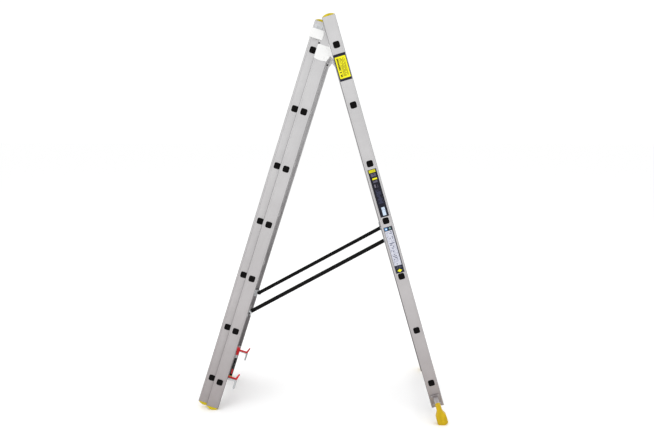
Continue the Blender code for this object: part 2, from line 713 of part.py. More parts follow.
clear_scene()
MODEL = new_collection("multi_position_ladder")
CUTTERS = new_collection("cutters")
MATERIAL = {
    "aluminium": new_material("satin_aluminium", (0.72, 0.73, 0.74), 0.38, 1.0),
    "zinc": new_material("zinc_plated_steel", (0.52, 0.53, 0.54), 0.35, 1.0),
    "white": new_material("white_coated_steel", (0.86, 0.86, 0.85), 0.42, 0.0),
    "yellow": new_material("yellow_plastic", (0.88, 0.56, 0.02), 0.48, 0.0),
    "black": new_material("black_coated_steel", (0.018, 0.018, 0.020), 0.50, 0.0),
    "red": new_material("red_plastic", (0.62, 0.025, 0.030), 0.45, 0.0),
}
build()
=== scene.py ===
"""Finished pieces, finishes and studio for a three-section aluminium ladder.

Every piece is modelled in its section's own frame: Z up the section, Y along the rungs, X across
it towards positive world X, and the origin at the centre of the top rung. Lengths are in metres.
"""

import math

import bmesh
import bpy
from bpy.props import FloatProperty, FloatVectorProperty, IntProperty, PointerProperty
from mathutils import Matrix, Vector


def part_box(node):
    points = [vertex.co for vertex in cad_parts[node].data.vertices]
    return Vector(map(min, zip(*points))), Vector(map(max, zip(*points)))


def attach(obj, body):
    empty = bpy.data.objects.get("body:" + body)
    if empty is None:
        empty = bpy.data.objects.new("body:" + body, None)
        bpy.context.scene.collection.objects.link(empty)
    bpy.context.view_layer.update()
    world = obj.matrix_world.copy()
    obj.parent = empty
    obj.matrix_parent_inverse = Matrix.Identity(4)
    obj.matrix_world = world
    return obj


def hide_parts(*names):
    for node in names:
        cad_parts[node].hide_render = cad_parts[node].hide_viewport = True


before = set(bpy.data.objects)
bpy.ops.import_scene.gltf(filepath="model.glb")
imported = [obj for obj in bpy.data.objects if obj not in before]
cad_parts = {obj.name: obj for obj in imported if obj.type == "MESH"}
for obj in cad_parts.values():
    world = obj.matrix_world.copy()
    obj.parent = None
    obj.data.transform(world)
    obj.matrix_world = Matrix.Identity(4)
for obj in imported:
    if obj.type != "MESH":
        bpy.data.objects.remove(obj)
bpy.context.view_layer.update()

bl_info = {
    "name": "Three-section ladder",
    "version": (1, 0, 0),
    "blender": (4, 5, 0),
    "location": "View3D > Sidebar > Ladder",
    "description": "Models the finished pieces, finishes and studio of an aluminium ladder",
    "category": "Add Mesh",
}

SECTIONS = ("base", "middle", "top")
SIDES = (("near", -1), ("far", 1))
RUNG_COUNT = 7
RUNG_SHORT = 0.004  # how far a rung's mouth lies inside the stile's outer face
RUNG_CORNER = 0.004
STILE_CORNER = 0.0025
PLUG_CORNER = 0.0078
BEAD_DEPTH = 0.0030
STILE_MOUTH = 0.030  # how far a stile's end is hollow
RUNG_MOUTH = 0.024
CAP_SKIRT = 0.018
STEM_LENGTH = 0.016
SLACK = 0.0004  # gap or overlap that keeps two faces out of one plane
TONE_FADE_HEIGHT = 1.95  # height at which the darkening towards the bottom ends
# Colour that the aluminium darkens towards at the bottom
LOWER_TONE = (0.345, 0.310, 0.310)
# Colour of the painted shade on the stiles
PAINTED_SHADE_COLOUR = (0.10, 0.095, 0.10)
# How far a stile darkens towards the bottom
STILE_DARKENING_STRENGTH = 0.80
# Strength of the painted shade on the stiles' inner faces and in the crevices along their outer
# corners
INNER_SHADE_STRENGTH = 0.85
CORNER_SHADE_STRENGTH = 0.95
LIE_DOWN = Matrix.Rotation(math.radians(90), 4, "X")  # turns Z to lie along Y
FINISH = {}


# Properties


def length(name, description, default):
    return FloatProperty(name=name, description=description, default=default, unit="LENGTH")


def colour(name, description, default):
    return FloatVectorProperty(
        name=name, description=description, default=default, subtype="COLOR", size=3, min=0.0, max=1.0,
    )


class LadderSizes(bpy.types.PropertyGroup):
    """Sizes of the fine shapes that the frame leaves plain."""

    band_width: length("Edge band", "Width of the raised band along each edge of a stile", 0.0075)
    recess: length("Recess", "Depth of the shallow panel between a stile's bands", 0.0008)
    wall: length("Wall", "Wall of the extrusions", 0.0018)
    groove: length("Groove", "Width of one groove in a rung", 0.0014)
    swage: length("Swage", "How far a swaged bead stands out round a rung", 0.0032)
    plug: length("Plug", "Side of a square plug in a rung's end", 0.0305)
    rivet: length("Rivet", "Radius of a rivet's head", 0.0042)
    grooves: IntProperty(name="Grooves", description="Grooves in each side of a rung", default=5)


class LadderColours(bpy.types.PropertyGroup):
    """Base colours of the finishes."""

    aluminium: colour("Aluminium", "Satin extruded aluminium", (0.615, 0.61, 0.615))
    zinc: colour("Zinc", "Zinc plated steel", (0.45, 0.46, 0.47))
    white: colour("White", "White powder coat", (0.80, 0.80, 0.795))
    yellow: colour("Yellow", "Yellow moulded plastic", (0.58, 0.455, 0.006))
    amber: colour("Amber", "Deeper yellow plastic of the feet", (0.57, 0.385, 0.008))
    red: colour("Red", "Red moulded plastic", (0.58, 0.006, 0.012))
    black: colour("Black", "Black moulded plastic", (0.0035, 0.003, 0.003))
    coat: colour("Black coat", "Black powder coat of the stay bars", (0.004, 0.004, 0.004))
    label_yellow: colour("Label yellow", "Yellow print on the labels", (0.86, 0.80, 0.01))


class StudioSettings(bpy.types.PropertyGroup):
    """Camera, floor and lights."""

    focal_length: FloatProperty(
        name="Lens", description="Focal length in millimetres", default=34.8, unit="CAMERA",
    )
    eye: FloatVectorProperty(
        name="Eye", description="Camera's place, from the base section's top rung",
        default=(0.034, -3.182, -0.313), subtype="TRANSLATION",
    )
    yaw: FloatProperty(
        name="Yaw", description="Turn of the camera to its left",
        default=math.radians(1.495), subtype="ANGLE",
    )
    pitch: FloatProperty(
        name="Pitch", description="How far the camera looks down",
        default=math.radians(9.23), subtype="ANGLE",
    )
    floor_size: length("Floor", "Side of the floor", 60.0)
    key: FloatProperty(name="Key", description="Power of the main light", default=22.0, unit="POWER")
    fill: FloatProperty(name="Fill", description="Power of the fill light", default=7.0, unit="POWER")
    overhead: FloatProperty(
        name="Overhead", description="Power of the light above", default=60.0, unit="POWER",
    )
    sky: FloatProperty(name="Surround", description="Strength of the white surround", default=1.04)


# Places in the frame


def centre_of(node):
    low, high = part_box(node)
    return (low + high) / 2


class Section:
    """One ladder section: its frame, its body and where its stiles and rungs are."""

    def __init__(self, name):
        self.name = name
        self.body = f"{name}_section"
        top = centre_of(f"{name}_rung_1")
        up = (top - centre_of(f"{name}_rung_{RUNG_COUNT}")).normalized()
        along = Vector((0, 1, 0))
        turn = Matrix((along.cross(up), along, up)).transposed()
        self.matrix = Matrix.Translation(top) @ turn.to_4x4()
        self.rungs = []
        for index in range(RUNG_COUNT):
            centre = centre_of(f"{name}_rung_{index + 1}")
            self.rungs.append((self.matrix.inverted() @ centre).z)
        low, high = self.local_box(f"{name}_stile_near")
        self.depth = 2 * min(high.x, -low.x)  # a slide stop may stand out on one side
        self.low, self.high = low.z, high.z
        low, high = self.local_box(f"{name}_top_cap_near")
        self.outer, self.inner = -low.y, -high.y

    def local_box(self, node):
        """A node's lowest and highest corners in this section's own frame."""
        back = self.matrix.inverted()
        points = [back @ vertex.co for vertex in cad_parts[node].data.vertices]
        low = Vector([min(point[axis] for point in points) for axis in range(3)])
        high = Vector([max(point[axis] for point in points) for axis in range(3)])
        return low, high


PLACE = {name: Section(name) for name in SECTIONS}


# Shapes


def arc(centre, radius, start, end, steps):
    """Points along an arc in a plane, from start to end in degrees."""
    points = []
    for step in range(steps + 1):
        angle = math.radians(start + (end - start) * step / steps)
        points.append((centre[0] + radius * math.cos(angle), centre[1] + radius * math.sin(angle)))
    return points


def flat_face(bm, points):
    """One face through points given in order."""
    return bm.faces.new([bm.verts.new(point) for point in points])


def extrude(bm, face, step, closed=True):
    """Moves a copy of a face by step, with walls between. closed=False drops the first face."""
    made = bmesh.ops.extrude_face_region(bm, geom=[face])["geom"]
    moved = [part for part in made if isinstance(part, bmesh.types.BMVert)]
    bmesh.ops.translate(bm, vec=step, verts=moved)
    if not closed:
        bmesh.ops.delete(bm, geom=[face], context="FACES_ONLY")
    return next(part for part in made if isinstance(part, bmesh.types.BMFace))


def sink(bm, face, margin, depth):
    """Insets a face by a margin and moves what is left of it along its own normal."""
    face.normal_update()
    inward = -face.normal * depth
    bmesh.ops.inset_individual(bm, faces=[face], thickness=margin, depth=0.0)
    return extrude(bm, face, inward, closed=False)


def sharp_edges(bm, least=35.0):
    limit = math.radians(least)
    return [edge for edge in bm.edges if edge.is_manifold and edge.calc_face_angle(0.0) > limit]


def bevel(bm, width, segments=3, least=35.0, edges=None):
    """Rounds the sharp edges."""
    bmesh.ops.recalc_face_normals(bm, faces=bm.faces)
    bmesh.ops.bevel(
        bm, geom=sharp_edges(bm, least) if edges is None else edges, offset=width,
        segments=segments, profile=0.5, affect="EDGES", material=-1, clamp_overlap=True,
    )


def block(bm, centre, size):
    """A box added to a mesh."""
    matrix = Matrix.Translation(centre) @ Matrix.Diagonal((*size, 1.0))
    bmesh.ops.create_cube(bm, size=1.0, matrix=matrix)


def rounded_plate(size, corner, segments):
    """A plate lying in X and Z, with its corners rounded and its thickness along Y."""
    bm = bmesh.new()
    block(bm, (0, 0, 0), size)
    least = size[1] / 2
    upright = [edge for edge in bm.edges if abs((edge.verts[0].co - edge.verts[1].co).y) > least]
    bevel(bm, corner, segments, edges=upright)
    return bm


def disc(bm, centre, radius, thickness, sides):
    """A short cylinder along Y added to a mesh."""
    bmesh.ops.create_cone(
        bm, cap_ends=True, segments=sides, radius1=radius, radius2=radius, depth=thickness,
        matrix=Matrix.Translation(centre) @ LIE_DOWN,
    )


def dome(bm, centre, radius, height):
    """A rivet's head, half sunk in the face that it sits on, its pole along Y."""
    squashed = Matrix.Diagonal((radius, radius, height, 1.0))
    bmesh.ops.create_uvsphere(
        bm, u_segments=20, v_segments=10, radius=1.0,
        matrix=Matrix.Translation(centre) @ LIE_DOWN @ squashed,
    )


def add_part(bm, part):
    """Adds one finished bmesh to another, so that like parts share an object."""
    mesh = bpy.data.meshes.new("part")
    part.to_mesh(mesh)
    part.free()
    bm.from_mesh(mesh)
    bpy.data.meshes.remove(mesh)


def finished(bm, name, body, finish, place=None, replaces=()):
    """Makes a piece of a bmesh: in place, smooth, riding on its body and with its finish."""
    bmesh.ops.recalc_face_normals(bm, faces=bm.faces)
    if place is not None:
        bmesh.ops.transform(bm, matrix=place, verts=bm.verts)
    mesh = bpy.data.meshes.new(name)
    bm.to_mesh(mesh)
    bm.free()
    mesh.materials.append(FINISH[finish])
    mesh.shade_smooth()
    mesh.set_sharp_from_angle(angle=math.radians(40))
    piece = bpy.data.objects.new(name, mesh)
    bpy.context.scene.collection.objects.link(piece)
    weighted = piece.modifiers.new("Weighted normals", "WEIGHTED_NORMAL")
    weighted.keep_sharp = True
    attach(piece, body)
    if replaces:
        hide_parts(*replaces)


def copied(node, width, segments=3):
    """A CAD node's shape as one clean mesh, with rounded edges where width isn't 0."""
    bm = bmesh.new()
    bm.from_mesh(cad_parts[node].data)
    bmesh.ops.remove_doubles(bm, verts=bm.verts, dist=0.00002)
    bmesh.ops.dissolve_limit(bm, angle_limit=math.radians(1), verts=bm.verts, edges=bm.edges)
    if width:
        bevel(bm, width, segments)
    return bm


def from_node(node, name, body, finish, width, segments=3):
    """A finished piece with a CAD node's shape and rounded edges."""
    finished(copied(node, width, segments), name, body, finish, replaces=[node])


# Shader nodes


class Signal:
    """A number socket in a shader, so that sums on it read as they are written."""

    def __init__(self, shader, socket):
        self.shader = shader
        self.socket = socket

    def maths(self, operation, *others, **settings):
        values = dict(enumerate((self, *others)))
        settings["operation"] = operation
        return self.shader.signal("ShaderNodeMath", settings, values)

    def __add__(self, other):
        return self.maths("ADD", other)

    def __sub__(self, other):
        return self.maths("SUBTRACT", other)

    def __mul__(self, other):
        return self.maths("MULTIPLY", other)

    def __truediv__(self, other):
        return self.maths("DIVIDE", other)

    def __rsub__(self, other):
        return self.maths("MULTIPLY_ADD", -1.0, other)

    __radd__ = __add__
    __rmul__ = __mul__

    def above(self, edge):
        return self.maths("GREATER_THAN", edge)

    def below(self, edge):
        return self.maths("LESS_THAN", edge)

    def size(self):
        return self.maths("ABSOLUTE")

    def floor(self):
        return self.maths("FLOOR")

    def fraction(self):
        return self.maths("FRACT")

    def most(self, other):
        return self.maths("MAXIMUM", other)

    def ramp(self, low, high):
        """0 at low, 1 at high, and smooth between."""
        settings = {"interpolation_type": "SMOOTHSTEP"}
        values = {"Value": self, "From Min": low, "From Max": high}
        return self.shader.signal("ShaderNodeMapRange", settings, values)


class Shader:
    """One material's nodes."""

    def __init__(self, name, base, roughness, metallic=0.0, constants=()):
        self.material = bpy.data.materials.new(name)
        self.material.use_nodes = True
        self.tree = self.material.node_tree
        self.surface = self.tree.nodes["Principled BSDF"]
        self.surface.inputs["Base Color"].default_value = (*base, 1.0)
        self.surface.inputs["Roughness"].default_value = roughness
        self.surface.inputs["Metallic"].default_value = metallic
        for key, value in dict(constants).items():
            self.surface.inputs[key].default_value = value
        self.material.diffuse_color = (*base, 1.0)

    def node(self, kind, settings, values):
        """Adds a node: its settings first, then its sockets' values or links."""
        made = self.tree.nodes.new(kind)
        for key, value in settings.items():
            setattr(made, key, value)
        for key, value in values.items():
            if isinstance(value, Signal):
                self.tree.links.new(value.socket, made.inputs[key])
            elif isinstance(value, bpy.types.NodeSocket):
                self.tree.links.new(value, made.inputs[key])
            else:
                made.inputs[key].default_value = value
        return made

    def signal(self, kind, settings, values):
        return Signal(self, self.node(kind, settings, values).outputs[0])

    def feed(self, key, value):
        socket = value.socket if isinstance(value, Signal) else value
        self.tree.links.new(socket, self.surface.inputs[key])

    def place(self, matrix=None, stretch=(1.0, 1.0, 1.0)):
        """The point on the piece, in a given frame, with each axis stretched."""
        point = self.node("ShaderNodeTexCoord", {}, {}).outputs["Object"]
        if matrix is not None:
            values = {
                "Vector": point, "Location": matrix.translation, "Rotation": matrix.to_euler(),
            }
            point = self.node("ShaderNodeMapping", {"vector_type": "TEXTURE"}, values).outputs[0]
        settings = {"operation": "MULTIPLY"}
        return self.node("ShaderNodeVectorMath", settings, {0: point, 1: stretch}).outputs[0]

    def axes(self, point):
        """The X, Y and Z of a point, as three signals."""
        parts = self.node("ShaderNodeSeparateXYZ", {}, {"Vector": point})
        return [Signal(self, socket) for socket in parts.outputs]

    def noise(self, point, scale, detail=2.0, roughness=0.5):
        values = {"Vector": point, "Scale": scale, "Detail": detail, "Roughness": roughness}
        return self.signal("ShaderNodeTexNoise", {}, values)

    def speck(self, *cells):
        """A random number for each whole-numbered cell."""
        values = dict(enumerate(cells))
        point = self.node("ShaderNodeCombineXYZ", {}, values).outputs[0]
        return self.signal("ShaderNodeTexWhiteNoise", {}, {"Vector": point})

    def mix(self, factor, first, second):
        """first where factor is 0 and second where it is 1. Colours are sockets or tuples."""
        values = {0: factor, 6: self.paint(first), 7: self.paint(second)}
        return self.node("ShaderNodeMix", {"data_type": "RGBA"}, values).outputs[2]

    def paint(self, value):
        return value if isinstance(value, bpy.types.NodeSocket) else (*value, 1.0)

    def bump(self, height, strength, distance):
        values = {"Strength": strength, "Distance": distance, "Height": height}
        self.feed("Normal", self.node("ShaderNodeBump", {}, values).outputs[0])


def shade(base, factor):
    """A colour made darker or lighter."""
    return tuple(min(1.0, channel * factor) for channel in base)


# Finishes


def extruded_aluminium(name, section, stretch, base, stile=False, darkening_strength=STILE_DARKENING_STRENGTH):
    """Satin aluminium with fine drawing lines along one axis, cloudy patches, scuffs and a tone that
    darkens towards the bottom; a stile also gets painted shade.
    """
    shader = Shader(name, base, 0.36, 1.0)
    lines = shader.noise(shader.place(section.matrix, stretch), 1.0, 3.0, 0.65)
    point = shader.place(section.matrix)
    cloud = shader.noise(point, 7.0, 4.0, 0.6)
    scuff_point = shader.place(section.matrix, (1.0, 1.0, 0.35))
    scuffs = shader.noise(scuff_point, 160.0, 5.0, 0.75).ramp(0.62, 0.80)
    height = shader.axes(shader.place())[2]
    # A tone that darkens towards the bottom, broken by noise
    lowness = 1.0 - height / TONE_FADE_HEIGHT
    lower_darkening = lowness * (lowness + 0.3 * shader.noise(point, 22.0, 5.0, 0.7))
    clear = shader.mix(cloud.ramp(0.3, 0.7), shade(base, 0.95), shade(base, 1.04))
    lined = shader.mix(lines.ramp(0.35, 0.65) * 0.26, clear, shade(base, 0.80))
    scuffed = shader.mix(scuffs * 0.35, lined, shade(base, 0.72))
    worn_and_shaded = shader.mix(lower_darkening * darkening_strength, scuffed, LOWER_TONE)
    # On a stile, painted shade darkens the inner face and the crevice along the outer corners
    if stile:
        worn_and_shaded = shader.mix(stile_painted_shade(shader, section, lowness), worn_and_shaded, PAINTED_SHADE_COLOUR)
    shader.feed("Base Color", worn_and_shaded)
    shader.feed("Roughness", 0.30 + lines * 0.14 + cloud * 0.06 + lower_darkening * 0.10 + scuffs * 0.10)
    shader.bump(lines + scuffs * 0.4, 0.12, 0.0002)
    return shader.material


def stile_painted_shade(shader, section, lowness):
    """How much painted shade a stile gets: on its inner face, and in the crevice along its outer
    corners.
    """
    across, along, _ = shader.axes(shader.place(section.matrix))
    # Painted shade on the inner face, stronger towards the bottom
    inner = along.size().below(section.inner + 0.0012) * lowness * INNER_SHADE_STRENGTH
    # Painted shade in the crevice along the outer corners
    corner_shade_mask = along.size().above(section.outer - 0.0035)
    edge = across.size().ramp(section.depth / 2 - 0.0022, section.depth / 2 - 0.0006)
    return inner.most(corner_shade_mask * edge * CORNER_SHADE_STRENGTH)


def zinc_plate(name, base):
    """Zinc plated steel with a faint spangle and dull patches."""
    shader = Shader(name, base, 0.34, 1.0)
    point = shader.place()
    spangle = shader.signal(
        "ShaderNodeTexVoronoi", {"feature": "F1"}, {"Vector": point, "Scale": 420.0},
    )
    patch = shader.noise(point, 45.0, 4.0, 0.6)
    fine = shader.noise(point, 1400.0, 2.0)
    tone = shader.mix(patch.ramp(0.3, 0.7), shade(base, 0.82), shade(base, 1.18))
    shader.feed("Base Color", shader.mix(spangle.ramp(0.1, 0.7) * 0.25, tone, shade(base, 1.35)))
    shader.feed("Roughness", 0.26 + patch * 0.22 + spangle * 0.08)
    shader.bump(fine + spangle, 0.10, 0.0002)
    return shader.material


def powder_coat(name, base, wear, roughness=0.36, gloss=0.5):
    """Powder coat with an orange-peel skin and rubbed patches."""
    shader = Shader(name, base, roughness, constants={"Specular IOR Level": gloss})
    point = shader.place()
    peel = shader.noise(point, 620.0, 2.0, 0.4)
    rubbed = shader.noise(point, 60.0, 6.0, 0.72).ramp(0.60, 0.78)
    cloud = shader.noise(point, 14.0, 3.0)
    tone = shader.mix(cloud, shade(base, 0.96), shade(base, 1.03))
    shader.feed("Base Color", shader.mix(rubbed * 0.45, tone, wear))
    shader.feed("Roughness", roughness + rubbed * 0.18 + peel * 0.08)
    shader.bump(peel, 0.16, 0.0003)
    return shader.material


def moulded_plastic(name, base, roughness, wear, mottle=0.9, gloss=0.4):
    """Moulded plastic with a spark-eroded grain, flow marks and scuffing."""
    shader = Shader(name, base, roughness, constants={"Specular IOR Level": gloss})
    point = shader.place()
    grain = shader.noise(point, 1500.0, 2.0, 0.5)
    flow = shader.noise(shader.place(None, (1.0, 1.0, 0.4)), 55.0, 4.0, 0.55)
    scuffs = shader.noise(point, 190.0, 5.0, 0.75).ramp(0.60, 0.78)
    tone = shader.mix(flow.ramp(0.3, 0.7), shade(base, mottle), shade(base, 1.06))
    shader.feed("Base Color", shader.mix(scuffs * 0.35, tone, wear))
    shader.feed("Roughness", roughness + grain * 0.10 + scuffs * 0.14)
    shader.bump(grain + scuffs * 0.5, 0.18, 0.0002)
    return shader.material


class Label:
    """A printed label's pattern. Positions on it are in millimetres from its centre."""

    def __init__(self, name, matrix, ground):
        coat = {"Specular IOR Level": 0.2, "Coat Weight": 0.06, "Coat Roughness": 0.2}
        self.shader = Shader(name, ground, 0.30, constants=coat)
        self.across, _, self.up = self.shader.axes(self.shader.place(matrix, (1000.0,) * 3))
        self.print = self.shader.paint(ground)

    def panel(self, low, high):
        """1 inside a rectangle."""
        middle_x, middle_z = (low[0] + high[0]) / 2, (low[1] + high[1]) / 2
        inside_x = (self.across - middle_x).size().below((high[0] - low[0]) / 2)
        return inside_x * (self.up - middle_z).size().below((high[1] - low[1]) / 2)

    def fill(self, mask, ink):
        first = self.print if isinstance(self.print, bpy.types.NodeSocket) else self.print[:3]
        self.print = self.shader.mix(mask, first, ink)

    def rows(self, low, high, pitch, dash, ink, cover=0.7, weight=0.55, upright=False):
        """Broken rows of plain dashes inside a rectangle, in place of words."""
        row, run = (self.across, self.up) if upright else (self.up, self.across)
        step = row / pitch
        line = step.fraction().below(weight) * (run / dash).fraction().below(0.84)
        inked = self.shader.speck(step.floor(), (run / dash).floor()).below(cover)
        self.fill(self.panel(low, high) * line * inked, ink)

    def done(self):
        wear = self.shader.noise(self.shader.place(), 240.0, 4.0, 0.7).ramp(0.62, 0.80)
        faded = self.shader.mix(wear * 0.18, self.print, (0.45, 0.45, 0.44))
        self.shader.feed("Base Color", faded)
        self.shader.feed("Roughness", 0.28 + wear * 0.25)
        return self.shader.material


# Operators


class PieceOperator:
    """What all the operators share."""

    bl_options = {"REGISTER", "UNDO"}

    @property
    def sizes(self):
        return bpy.context.scene.ladder_sizes


class LADDER_OT_finishes(PieceOperator, bpy.types.Operator):
    """Make the finishes that the pieces share"""

    bl_idname = "ladder.finishes"
    bl_label = "Finishes"

    def execute(self, context):
        colours = context.scene.ladder_colours
        along_stile, along_rung = (900.0, 900.0, 9.0), (900.0, 9.0, 900.0)
        for name, section in PLACE.items():
            FINISH[f"{name}_stile"] = extruded_aluminium(
                f"{name}_stile_aluminium", section, along_stile, colours.aluminium, stile=True,
            )
            FINISH[f"{name}_rung"] = extruded_aluminium(
                f"{name}_rung_aluminium", section, along_rung, colours.aluminium,
            )
        # Painted light: a lighter copy of the aluminium for the stabiliser bar, so that it looks lit
        # where it lies in shade; it also darkens less towards the bottom
        FINISH["bright"] = extruded_aluminium(
            "bright_aluminium", PLACE["base"], along_rung, shade(colours.aluminium, 1.25), darkening_strength=0.12,
        )
        FINISH["collar"] = FINISH["base_rung"]
        FINISH["zinc"] = zinc_plate("zinc_plate", colours.zinc)
        FINISH["white"] = powder_coat("white_coat", colours.white, (0.60, 0.60, 0.59))
        FINISH["coat"] = powder_coat("black_coat", colours.coat, (0.014, 0.014, 0.014), 0.42, 0.08)
        FINISH["yellow"] = moulded_plastic(
            "yellow_plastic", colours.yellow, 0.42, (0.40, 0.24, 0.02), 0.86, 0.16,
        )
        FINISH["foot"] = moulded_plastic(
            "amber_plastic", colours.amber, 0.46, (0.62, 0.28, 0.03), 0.84, 0.16,
        )
        FINISH["stop"] = zinc_plate("dull_steel", shade(colours.zinc, 1.2))
        FINISH["red"] = moulded_plastic("red_plastic", colours.red, 0.36, (0.34, 0.02, 0.02))
        FINISH["black"] = moulded_plastic(
            "black_plastic", colours.black, 0.46, (0.012, 0.011, 0.011), 0.9, 0.06,
        )
        return {"FINISHED"}


def stile_outline(depth, width, band, recess):
    """Half of a stile's outline turned twice round: flat bands by the corners, a panel between."""
    half_depth, half_width = depth / 2, width / 2
    side = [
        (-half_depth, half_width), (band - half_depth, half_width),
        (band - half_depth + recess, half_width - recess),
        (half_depth - band - recess, half_width - recess),
        (half_depth - band, half_width), (half_depth, half_width),
    ]
    lip = 0.0005
    edge = [
        (half_depth, half_width * 0.45), (half_depth - lip, half_width * 0.40),
        (half_depth - lip, -half_width * 0.40), (half_depth, -half_width * 0.45),
    ]
    half = side + edge
    return half + [(-x, -y) for x, y in half]


def widest(faces):
    return max(faces, key=lambda face: face.calc_area())


def rounded_section(outline, height, size, radius):
    """A flat face on an outline, with the corners of its whole size rounded."""
    bm = bmesh.new()
    face = flat_face(bm, [(x, y, height) for x, y in outline])
    reach = [side * 0.49 for side in size]
    corners = [vert for vert in face.verts if abs(vert.co.x) > reach[0] and abs(vert.co.y) > reach[1]]
    bmesh.ops.bevel(
        bm, geom=corners, offset=radius, segments=4, profile=0.5, affect="VERTICES", material=-1,
    )
    return bm, widest(bm.faces)


def extrusion(bm, face, length_up, wall, hollow):
    """Draws a rounded section up to its length and sinks a mouth in each end."""
    top = extrude(bm, face, (0, 0, length_up))
    bottom = next(made for made in bm.faces if made is not top and abs(made.normal.z) > 0.9)
    bmesh.ops.recalc_face_normals(bm, faces=bm.faces)
    for end in (top, bottom):
        sink(bm, end, wall, hollow)


def model_stile(section, sign, sizes):
    """One stile as a ribbed length of extrusion, open at both ends."""
    width = section.outer - section.inner
    outline = stile_outline(section.depth, width, sizes.band_width, sizes.recess)
    bm, face = rounded_section(outline, section.low, (section.depth, width), STILE_CORNER)
    extrusion(bm, face, section.high - section.low, sizes.wall, STILE_MOUTH)
    middle = sign * (section.outer + section.inner) / 2
    bmesh.ops.translate(bm, vec=(0, middle, 0), verts=bm.verts)
    return bm


class LADDER_OT_stiles(PieceOperator, bpy.types.Operator):
    """Model the six stiles"""

    bl_idname = "ladder.stiles"
    bl_label = "Stiles"

    def execute(self, context):
        for section in PLACE.values():
            for side, sign in SIDES:
                finished(
                    model_stile(section, sign, self.sizes), f"{section.name}_extrusion_{side}",
                    section.body, f"{section.name}_stile", section.matrix,
                    replaces=[f"{section.name}_stile_{side}"],
                )
        add_slide_stops()
        return {"FINISHED"}


def add_slide_stops():
    """The lugs on the top stiles that rest on the guides, each held by two rivets."""
    section = PLACE["top"]
    _, guide_high = section.local_box("guide_bracket_near")
    size = Vector((0.0440, 0.0112, 0.0210))
    height = guide_high.z + SLACK + size.z / 2
    for side, sign in SIDES:
        bm = bmesh.new()
        block(bm, (0.0, sign * (section.outer + size.y / 2), height), size)
        bevel(bm, 0.0020)
        for across in (-0.0120, 0.0120):
            dome(bm, (across, sign * (section.outer + size.y), height), 0.0036, 0.0016)
        finished(bm, f"slide_stop_{side}", section.body, "stop", section.matrix)


def rung_outline(size, corner, groove, count):
    """A square tube's outline with shallow grooves in the middle of each side."""
    half = size / 2
    pitch = 2 * (half - corner) / (count + 1)
    side = [(-half, half)]
    for index in range(count):
        middle = (index - (count - 1) / 2) * pitch
        side += [
            (middle - groove / 2, half), (middle - groove / 4, half - groove / 2),
            (middle + groove / 4, half - groove / 2), (middle + groove / 2, half),
        ]
    outline = []
    for quarter in range(4):
        turn = Matrix.Rotation(math.radians(-90 * quarter), 2)
        outline += [tuple(turn @ Vector(point)) for point in side]
    return outline


def model_rung(section, index, sizes):
    """One square rung with a hollow mouth at each end."""
    low, high = section.local_box(f"{section.name}_rung_{index + 1}")
    size = high.z - low.z
    reach = section.outer - RUNG_SHORT
    outline = rung_outline(size, RUNG_CORNER, sizes.groove, sizes.grooves)
    bm, face = rounded_section(outline, 0, (size, size), RUNG_CORNER)
    extrusion(bm, face, 2 * reach, sizes.wall * 0.6, RUNG_MOUTH)
    lie_along = Matrix.Translation((0, reach, section.rungs[index])) @ LIE_DOWN
    bmesh.ops.transform(bm, matrix=lie_along, verts=bm.verts)
    return bm


def square_ring(size, hole, thickness, corner, soften):
    """A flat square ring with rounded corners, lying in X and Z, centred on its own middle."""
    bm = rounded_plate((size, thickness, size), corner, 4)
    caps = [face for face in bm.faces if abs(face.normal.y) > 0.9]
    bmesh.ops.inset_individual(bm, faces=caps, thickness=(size - hole) / 2, depth=0.0)
    rims = [edge for face in caps for edge in face.edges]
    bmesh.ops.delete(bm, geom=caps, context="FACES_ONLY")
    bmesh.ops.bridge_loops(bm, edges=rims)
    bevel(bm, soften, 2, 50.0)
    return bm


class LADDER_OT_rungs(PieceOperator, bpy.types.Operator):
    """Model the grooved rungs and the swaged beads that hold them in the stiles"""

    bl_idname = "ladder.rungs"
    bl_label = "Rungs"

    def execute(self, context):
        for section in PLACE.values():
            finish = f"{section.name}_rung"
            for index in range(RUNG_COUNT):
                finished(
                    model_rung(section, index, self.sizes), f"{section.name}_rung_tube_{index + 1}",
                    section.body, finish, section.matrix,
                    replaces=[f"{section.name}_rung_{index + 1}"],
                )
            for side, sign in SIDES:
                self.swages(section, side, sign, finish)
        return {"FINISHED"}

    def swages(self, section, side, sign, finish):
        """A bead round each rung, against the inner face of one stile."""
        beads = bmesh.new()
        tube = 0.0298
        for height in section.rungs:
            bead = square_ring(tube + 2 * self.sizes.swage, tube, BEAD_DEPTH, 0.006, 0.0011)
            at = (0, sign * (section.inner - BEAD_DEPTH / 2 + SLACK), height)
            bmesh.ops.translate(bead, vec=at, verts=bead.verts)
            add_part(beads, bead)
        name = f"{section.name}_rung_beads_{side}"
        finished(beads, name, section.body, finish, section.matrix)


def model_plug(size, thickness):
    """A square plug: a pillowed rim, a sunk panel and a small square boss on its outer face (+Y)."""
    bm = rounded_plate((size, thickness, size), PLUG_CORNER, 6)
    bmesh.ops.recalc_face_normals(bm, faces=bm.faces)
    face = widest(made for made in bm.faces if made.normal.y > 0.9)
    panel = sink(bm, face, 0.0030, 0.0007)
    sink(bm, panel, 0.0016, -0.0004)
    return bm


class LADDER_OT_plugs(PieceOperator, bpy.types.Operator):
    """Model the black plugs that close the rungs' ends"""

    bl_idname = "ladder.plugs"
    bl_label = "Plugs"

    def execute(self, context):
        thickness = self.sizes.recess + 0.0012
        for section in PLACE.values():
            for side, sign in SIDES:
                plugs = bmesh.new()
                for height in section.rungs:
                    plug = model_plug(self.sizes.plug, thickness)
                    face_out = Matrix.Diagonal((1.0, sign, 1.0, 1.0))
                    at = (0, sign * (section.outer + 0.0003 - thickness / 2), height)
                    bmesh.ops.transform(
                        plug, matrix=Matrix.Translation(at) @ face_out, verts=plug.verts,
                    )
                    add_part(plugs, plug)
                finished(
                    plugs, f"{section.name}_plugs_{side}", section.body, "black",
                    section.matrix,
                )
        return {"FINISHED"}


